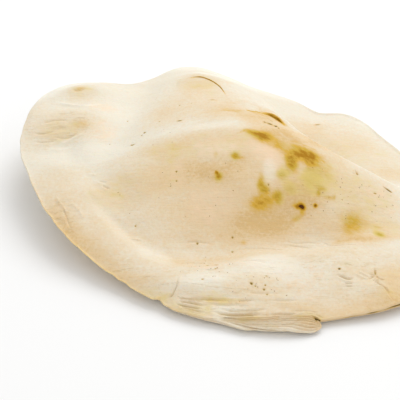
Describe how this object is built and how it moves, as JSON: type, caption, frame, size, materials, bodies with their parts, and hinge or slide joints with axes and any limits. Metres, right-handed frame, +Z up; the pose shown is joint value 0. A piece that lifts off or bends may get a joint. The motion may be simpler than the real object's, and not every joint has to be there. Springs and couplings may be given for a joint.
{
  "type": "baladi bread",
  "caption": "Round, flat, puffed wheat loaf: a soft dome in a low brim with a thin curled rim, creases, a torn blister and a folded tongue of skin.",
  "frame": {"origin": "middle of the loaf's bounding box, on the surface that it rests on", "axes": "+Z up, -Y towards the front with the folded tongue, +X to the right as seen from the front"},
  "size_m": [0.2408, 0.2304, 0.0451],
  "materials": {
    "baked_skin": "dull, pale baked wheat skin, a little floury"
  },
  "bodies": {
    "root": {"bread": "baked_skin"}
  },
  "joints": []
}
